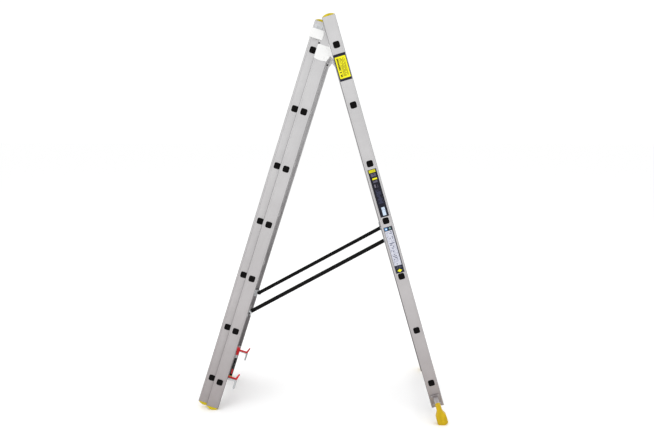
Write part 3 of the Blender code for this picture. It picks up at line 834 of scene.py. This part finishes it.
def model_cap(low, high, up, groove_depth):
    """A domed cap and its rim's height. Shallow grip grooves cross the dome, if they have a depth."""
    depth = high.x - low.x
    base, tip = (low.z, high.z) if up > 0 else (high.z, low.z)
    rise = abs(tip - base) - CAP_SKIRT
    rim = tip - up * rise
    radius = ((depth / 2) ** 2 + rise**2) / (2 * rise)
    spread = math.degrees(math.asin(depth / 2 / radius))
    steps = 48
    outline = []
    for step, (x, z) in enumerate(arc((0, rise - radius), radius, 90 - spread, 90 + spread, steps)):
        grooved = groove_depth and 5 < step < steps - 5 and step % 6 in (0, 1)
        scale = (radius - groove_depth) / radius if grooved else 1.0
        outline.append((x * scale, (z - rise + radius) * scale + rise - radius))
    middle_x = (low.x + high.x) / 2
    bm = bmesh.new()
    face = flat_face(bm, [(middle_x + x, low.y, rim + up * z) for x, z in outline])
    extrude(bm, face, (0, high.y - low.y, 0))
    bevel(bm, 0.0016, 4, 60.0)
    return bm, rim


class LADDER_OT_caps(PieceOperator, bpy.types.Operator):
    """Model the yellow caps on the stiles' ends"""

    bl_idname = "ladder.caps"
    bl_label = "Caps"

    def execute(self, context):
        for section in PLACE.values():
            for side, _ in SIDES:
                self.cap(section, side, "top", 1, 0.0)
                if section.name != "base":
                    self.cap(section, side, "bottom", -1, 0.0009)
        return {"FINISHED"}

    def cap(self, section, side, end, up, groove_depth):
        """One cap with the stem that holds it in its stile."""
        node = f"{section.name}_{end}_cap_{side}"
        low, high = section.local_box(node)
        bm, rim = model_cap(low, high, up, groove_depth)
        inset = 2 * (self.sizes.wall + 0.0008)
        middle = (low + high) / 2
        stem = bmesh.new()
        centre = (middle.x, middle.y, rim - up * (STEM_LENGTH / 2 - 0.0005))
        block(stem, centre, (high.x - low.x - inset, high.y - low.y - inset, STEM_LENGTH))
        bevel(stem, 0.001, 2)
        add_part(bm, stem)
        finished(
            bm, f"{section.name}_{end}_end_cap_{side}", section.body, "yellow",
            section.matrix, replaces=[node],
        )


class LADDER_OT_stabiliser(PieceOperator, bpy.types.Operator):
    """Model the stabiliser bar, its collars and its feet"""

    bl_idname = "ladder.stabiliser"
    bl_label = "Stabiliser"

    def execute(self, context):
        section = PLACE["base"]
        # The tube takes the lighter aluminium, whose colour holds painted light
        from_node("stabiliser_bar", "stabiliser_tube", section.body, "bright", 0.0006, 2)
        for side, sign in SIDES:
            from_node(
                f"stabiliser_collar_{side}", f"stabiliser_sleeve_{side}", section.body,
                "collar", 0.0009,
            )
            self.rivets(section, side, sign)
            self.foot(section, side, sign)
        return {"FINISHED"}

    def rivets(self, section, side, sign):
        """A rivet in each corner of a collar's plate."""
        low, high = section.local_box(f"stabiliser_collar_{side}")
        plate, inset = 0.0043, 0.0052
        bm = bmesh.new()
        for x in (low.x + inset, high.x - inset):
            for z in (low.z + inset, high.z - inset):
                dome(bm, (x, sign * (section.outer + plate), z), 0.0030, 0.0016)
        finished(bm, f"collar_rivets_{side}", section.body, "zinc", section.matrix)

    def foot(self, section, side, sign):
        """A bell foot with a shallow panel in its outer face."""
        node = f"stabiliser_foot_{side}"
        bm = copied(node, 0.0)
        bmesh.ops.recalc_face_normals(bm, faces=bm.faces)
        sink(bm, widest(face for face in bm.faces if face.normal.y * sign > 0.99), 0.0035, 0.0012)
        bevel(bm, 0.0022, 4, 42.0)
        finished(bm, f"bell_foot_{side}", section.body, "foot", replaces=[node])


class LADDER_OT_hinges(PieceOperator, bpy.types.Operator):
    """Model the white hinge brackets, hinge plates and guides, with their fasteners"""

    bl_idname = "ladder.hinges"
    bl_label = "Hinges and guides"

    def execute(self, context):
        base, middle = PLACE["base"], PLACE["middle"]
        for side, sign in SIDES:
            for node, name, section, width in (
                ("hinge_bracket", "hinge_angle", base, 0.0006),
                ("hinge_plate", "hinge_leaf", middle, 0.0007),
                ("guide_bracket", "guide_channel", middle, 0.0006),
            ):
                from_node(f"{node}_{side}", f"{name}_{side}", section.body, "white", width)
            self.rivets(middle, side, sign)
            self.bolts(middle, side, sign)
        return {"FINISHED"}

    def rivets(self, middle, side, sign):
        """White rivets on the hinge leaf and on the guide's flange."""
        low, high = middle.local_box(f"hinge_plate_{side}")
        leaf_y = low.y if sign < 0 else high.y
        flange, end = 0.0055, 0.009
        bm = bmesh.new()
        for x, z in ((-0.021, 0.022), (-0.021, -0.020), (0.012, 0.022), (0.012, -0.022)):
            dome(bm, (x, leaf_y, z), self.sizes.rivet, 0.0017)
        low, high = middle.local_box(f"guide_bracket_{side}")
        guide_y = low.y if sign < 0 else high.y
        for z in (low.z + end, high.z - end):
            dome(bm, (high.x - flange, guide_y, z), self.sizes.rivet * 0.8, 0.0015)
        finished(bm, f"leaf_rivets_{side}", middle.body, "white", middle.matrix)

    def bolts(self, middle, side, sign):
        """Small dark screws: one beside the guide, one through the stile behind the hinge leaf."""
        bm = bmesh.new()
        for x, y, z in ((-0.0262, middle.outer, 0.0363), (0.0204, middle.inner, -0.0199)):
            disc(bm, (x, sign * y, z), 0.0034, 0.0040, 6)
            disc(bm, (x, sign * y, z), 0.0044, 0.0012, 24)
        bevel(bm, 0.0003, 2, 50.0)
        finished(bm, f"stile_screws_{side}", middle.body, "black", middle.matrix)


class LADDER_OT_stays(PieceOperator, bpy.types.Operator):
    """Model the black stay bars, their pivots and their cleats"""

    bl_idname = "ladder.stays"
    bl_label = "Stay bars"

    def execute(self, context):
        base, middle = PLACE["base"], PLACE["middle"]
        for side, sign in SIDES:
            for node, name, body, finish, width in (
                ("stay_bar", "stay_strap", f"{side}_stay_bar", "coat", 0.0007),
                ("stay_pivot", "stay_stud", base.body, "zinc", 0.0005),
                ("stay_cleat", "stay_catch", middle.body, "zinc", 0.0009),
            ):
                from_node(f"{node}_{side}", f"{name}_{side}", body, finish, width)
            self.rivets(base, side, sign)
        return {"FINISHED"}

    def rivets(self, base, side, sign):
        """The two rivets of the plate that carries a stay bar's pivot."""
        low, high = base.local_box(f"stay_pivot_{side}")
        plate, inset, end = 0.0033, 0.006, 0.009
        bm = bmesh.new()
        for z in (low.z + end, high.z - end):
            dome(bm, (high.x - inset, sign * (base.inner - plate), z), 0.0032, 0.0015)
        finished(bm, f"stud_rivets_{side}", base.body, "zinc", base.matrix)


class LADDER_OT_hooks(PieceOperator, bpy.types.Operator):
    """Model the rung hooks, red levers, spring housings and pawls"""

    bl_idname = "ladder.hooks"
    bl_label = "Hooks and levers"

    def execute(self, context):
        middle = PLACE["middle"]
        for side, sign in SIDES:
            from_node(f"rung_hook_{side}", f"steel_hook_{side}", middle.body, "zinc", 0.0010)
            self.lever(middle, side)
            from_node(f"rung_pawl_{side}", f"pawl_{side}", f"{side}_rung_pawl", "zinc", 0.0009)
            self.housing(middle, side, sign)
        return {"FINISHED"}

    def lever(self, middle, side):
        """A lever with the ribbed thumb block moulded on its root."""
        node = f"hook_lever_{side}"
        bm = copied(node, 0.0009)
        low, high = middle.local_box(node)
        thickness = high.y - low.y - SLACK
        block_low, block_high = Vector((0.0140, 0, -1.6840)), Vector((0.0292, 0, -1.6390))
        thumb = bmesh.new()
        centre = (block_low + block_high) / 2
        centre.y = (low.y + high.y) / 2
        size = block_high - block_low
        block(thumb, centre, (size.x, thickness, size.z))
        bevel(thumb, 0.0022, 4)
        ribs = 6
        for index in range(ribs):
            z = block_low.z + size.z * (index + 1) / (ribs + 1)
            rib = bmesh.new()
            block(rib, (block_high.x, centre.y, z), (0.0016, thickness - 0.0014, 0.0024))
            bevel(rib, 0.0006, 2)
            add_part(thumb, rib)
        bmesh.ops.transform(thumb, matrix=middle.matrix, verts=thumb.verts)
        add_part(bm, thumb)
        finished(bm, f"red_lever_{side}", f"{side}_hook_lever", "red", replaces=[node])

    def housing(self, middle, side, sign):
        """The channel below a hook, with the red slider at its foot and the spring above that."""
        low, _ = middle.local_box(f"rung_hook_{side}")
        top, foot = low.z - 0.0006, middle.low + 0.004
        back = middle.inner - 0.0003
        across, depth = 0.0238, 0.0062
        bm = bmesh.new()
        block(bm, (across, sign * (back - depth / 2), (top + foot) / 2), (0.0125, depth, top - foot))
        bmesh.ops.recalc_face_normals(bm, faces=bm.faces)
        front = next(face for face in bm.faces if face.normal.y * sign < -0.9)
        sink(bm, front, 0.0022, 0.0035)
        bevel(bm, 0.0006, 2)
        finished(bm, f"spring_housing_{side}", middle.body, "coat", middle.matrix)
        seat, length_up = foot + 0.0125, 0.028
        slider = bmesh.new()
        centre = (across, sign * (back - depth + 0.0018), seat + length_up / 2)
        block(slider, centre, (0.0072, 0.0044, length_up))
        bevel(slider, 0.0008, 3)
        finished(slider, f"latch_slider_{side}", middle.body, "red", middle.matrix)
        start = Vector((across, sign * (back - 0.0042), seat + length_up + 0.001))
        coil = self.spring(start, top - 0.006 - start.z)
        finished(coil, f"latch_spring_{side}", middle.body, "zinc", middle.matrix)

    def spring(self, start, height):
        """A coil spring that stands on start."""
        turns, steps = 13, 12
        radius, wire = 0.0021, 0.0005
        coil = bmesh.new()
        ring = arc((start.x + radius, start.z), wire, 0, 315, 7)
        face = flat_face(coil, [(x, start.y, z) for x, z in ring])
        bmesh.ops.spin(
            coil, geom=list(face.verts) + list(face.edges) + [face], cent=start, axis=(0, 0, 1),
            dvec=(0, 0, height / turns / steps), angle=math.radians(360 * turns),
            steps=steps * turns, use_duplicate=False,
        )
        return coil


def label_a(matrix, yellow):
    """A black label with a bright panel, one bold column and fine rows."""
    label = Label("label_panel_print", matrix, (0.008, 0.008, 0.022))
    label.fill(label.panel((-24.5, -50.0), (25.0, 48.5)), yellow)
    label.rows((-18.7, -43.0), (-9.0, 42.0), 10.2, 6.2, (0.030, 0.024, 0.006), 0.86, 0.92, True)
    label.rows((-6.5, -42.0), (18.5, 41.0), 4.1, 5.2, (0.15, 0.12, 0.006), 0.86, 0.62, True)
    return label.done()


def label_b(matrix, yellow):
    """A long black label with two bright blocks, grey rows and a pale patch at its foot."""
    label = Label("label_long_print", matrix, (0.005, 0.005, 0.013))
    label.fill(label.panel((-16.5, 100.5), (14.5, 113.5)), shade(yellow, 0.72))
    label.rows((-12.0, 103.0), (12.0, 111.0), 3.0, 3.2, (0.24, 0.21, 0.01), 0.5)
    label.rows((-12.0, 80.0), (12.0, 96.0), 3.4, 4.2, (0.20, 0.18, 0.26), 0.86)
    label.fill(label.panel((-9.5, 66.0), (13.0, 73.5)), yellow)
    label.rows((-10.0, 52.0), (11.0, 61.0), 3.0, 3.8, (0.22, 0.21, 0.29), 0.86)
    label.fill(label.panel((-9.0, 28.0), (-3.0, 43.0)), (0.16, 0.15, 0.19))
    label.rows((0.0, 26.0), (9.0, 45.0), 4.6, 4.2, (0.08, 0.075, 0.11), 0.6)
    label.rows((-11.0, -52.0), (11.0, 18.0), 4.2, 8.5, (0.045, 0.05, 0.10), 0.66, 0.6, True)
    label.fill(label.panel((-6.0, -110.0), (10.0, -70.0)), (0.56, 0.67, 0.80))
    label.rows((-5.0, -92.0), (9.0, -72.0), 4.0, 4.6, (0.10, 0.11, 0.20), 0.35)
    return label.done()


def label_c(matrix, yellow):
    """A pale speckled label between two dark bands."""
    ink = (0.008, 0.010, 0.026)
    label = Label("label_pale_print", matrix, ink)
    label.fill(label.panel((-19.0, -77.0), (18.5, 96.0)), (0.60, 0.61, 0.68))
    label.fill(label.panel((16.2, -77.0), (18.5, 96.0)), ink)
    label.rows((-17.0, -74.0), (15.0, 92.0), 3.3, 4.9, (0.34, 0.35, 0.45), 0.50, 0.60)
    label.rows((-15.0, -72.0), (13.0, 92.0), 8.0, 6.0, (0.045, 0.05, 0.10), 0.22, 0.50)
    label.fill(label.panel((-17.5, 99.5), (-3.5, 113.0)), (0.05, 0.22, 0.48))
    label.fill(label.panel((-13.0, 102.5), (-6.5, 109.5)), (0.70, 0.84, 0.95))
    label.fill(label.panel((4.0, 101.5), (12.0, 111.0)), (0.22, 0.36, 0.34))
    label.rows((-12.0, -92.0), (12.0, -80.0), 3.0, 4.0, (0.13, 0.13, 0.17), 0.7)
    diamond = ((label.across.size() / 11.5) + ((label.up + 104.0).size() / 8.0)).below(1.0)
    label.fill(diamond, yellow)
    return label.done()


class LADDER_OT_labels(PieceOperator, bpy.types.Operator):
    """Stick the three plain printed labels on the base section's near stile"""

    bl_idname = "ladder.labels"
    bl_label = "Labels"

    def execute(self, context):
        base = PLACE["base"]
        yellow = tuple(context.scene.ladder_colours.label_yellow)
        wide = 2 * (base.depth / 2 - self.sizes.band_width - self.sizes.recess)
        kinds = (
            ("label_panel", label_a, -0.0005, -0.1025, 0.0565, 0.1230, 0.0),
            ("label_long", label_b, 0.0010, -0.7035, wide * 0.92, 0.2330, -self.sizes.recess),
            ("label_pale", label_c, 0.0, -0.9860, wide * 0.92, 0.2320, -self.sizes.recess),
        )
        for name, pattern, across, up, width, height, sunk in kinds:
            matrix = base.matrix @ Matrix.Translation((across, -base.outer - sunk, up))
            FINISH[name] = pattern(matrix, yellow)
            bm = rounded_plate((width, 0.0005, height), 0.0016, 3)
            finished(bm, name, base.body, name, matrix)
        return {"FINISHED"}


def aim(obj, target):
    obj.rotation_euler = (Vector(target) - obj.location).to_track_quat("-Z", "Y").to_euler()


def area_light(name, place, target, size, power):
    light = bpy.data.lights.new(name, "AREA")
    light.shape = "RECTANGLE"
    light.size, light.size_y = size
    light.energy = power
    lamp = bpy.data.objects.new(name, light)
    lamp.location = place
    bpy.context.scene.collection.objects.link(lamp)
    aim(lamp, target)


class LADDER_OT_studio(PieceOperator, bpy.types.Operator):
    """Set up the pale floor, the soft lights and the camera"""

    bl_idname = "ladder.studio"
    bl_label = "Studio"

    def execute(self, context):
        settings = context.scene.ladder_studio
        self.floor(settings.floor_size)
        world = bpy.data.worlds.new("white_surround")
        world.use_nodes = True
        background = world.node_tree.nodes["Background"]
        background.inputs["Color"].default_value = (1.0, 1.0, 1.0, 1.0)
        background.inputs["Strength"].default_value = settings.sky
        context.scene.world = world
        context.scene.view_settings.view_transform = "Standard"
        middle = (0, 0, 1.0)
        area_light("key_light", (-2.6, -3.4, 3.4), middle, (2.4, 2.4), settings.key)
        area_light("fill_light", (3.4, -2.4, 2.0), middle, (1.8, 2.4), settings.fill)
        area_light("overhead_light", (0, 0, 5.0), (0, 0.01, 0), (5.0, 5.0), settings.overhead)
        self.camera(context, settings)
        return {"FINISHED"}

    def floor(self, size):
        bm = bmesh.new()
        bmesh.ops.create_grid(bm, x_segments=1, y_segments=1, size=size / 2)
        mesh = bpy.data.meshes.new("floor")
        bm.to_mesh(mesh)
        bm.free()
        floor = bpy.data.objects.new("floor", mesh)
        bpy.context.scene.collection.objects.link(floor)
        dull = {"Specular IOR Level": 0.0}
        mesh.materials.append(Shader("pale_floor", (0.96,) * 3, 0.85, constants=dull).material)

    def camera(self, context, settings):
        camera = bpy.data.cameras.new("camera")
        camera.lens = settings.focal_length
        camera.sensor_width = 36.0
        eye = bpy.data.objects.new("camera", camera)
        eye.location = centre_of("base_rung_1") + Vector(settings.eye)
        eye.rotation_euler = (math.radians(90) - settings.pitch, 0.0, settings.yaw)
        context.scene.collection.objects.link(eye)
        context.scene.camera = eye


OPERATORS = (
    LADDER_OT_finishes, LADDER_OT_stiles, LADDER_OT_rungs, LADDER_OT_plugs, LADDER_OT_caps,
    LADDER_OT_stabiliser, LADDER_OT_hinges, LADDER_OT_stays, LADDER_OT_hooks, LADDER_OT_labels,
    LADDER_OT_studio,
)


class LADDER_PT_panel(bpy.types.Panel):
    """The ladder's operators, in the order in which they are run"""

    bl_idname = "LADDER_PT_panel"
    bl_label = "Ladder"
    bl_space_type = "VIEW_3D"
    bl_region_type = "UI"
    bl_category = "Ladder"

    def draw(self, context):
        column = self.layout.column()
        for operator in OPERATORS:
            column.operator(operator.bl_idname)
        for group in ("ladder_sizes", "ladder_colours", "ladder_studio"):
            settings = getattr(context.scene, group)
            for key in settings.bl_rna.properties.keys():
                if key not in ("rna_type", "name"):
                    column.prop(settings, key)


CLASSES = (LadderSizes, LadderColours, StudioSettings, *OPERATORS, LADDER_PT_panel)


def register():
    for made in CLASSES:
        bpy.utils.register_class(made)
    bpy.types.Scene.ladder_sizes = PointerProperty(type=LadderSizes)
    bpy.types.Scene.ladder_colours = PointerProperty(type=LadderColours)
    bpy.types.Scene.ladder_studio = PointerProperty(type=StudioSettings)


def unregister():
    del bpy.types.Scene.ladder_studio
    del bpy.types.Scene.ladder_colours
    del bpy.types.Scene.ladder_sizes
    for made in reversed(CLASSES):
        bpy.utils.unregister_class(made)


def clear_startup():
    """Removes the startup scene's own cube, lamp and camera."""
    for name in ("Cube", "Light", "Camera"):
        old = bpy.data.objects.get(name)
        if old:
            bpy.data.objects.remove(old, do_unlink=True)


def main():
    clear_startup()
    register()
    for operator in OPERATORS:
        group, name = operator.bl_idname.split(".")
        getattr(getattr(bpy.ops, group), name)()


if __name__ == "__main__":
    main()
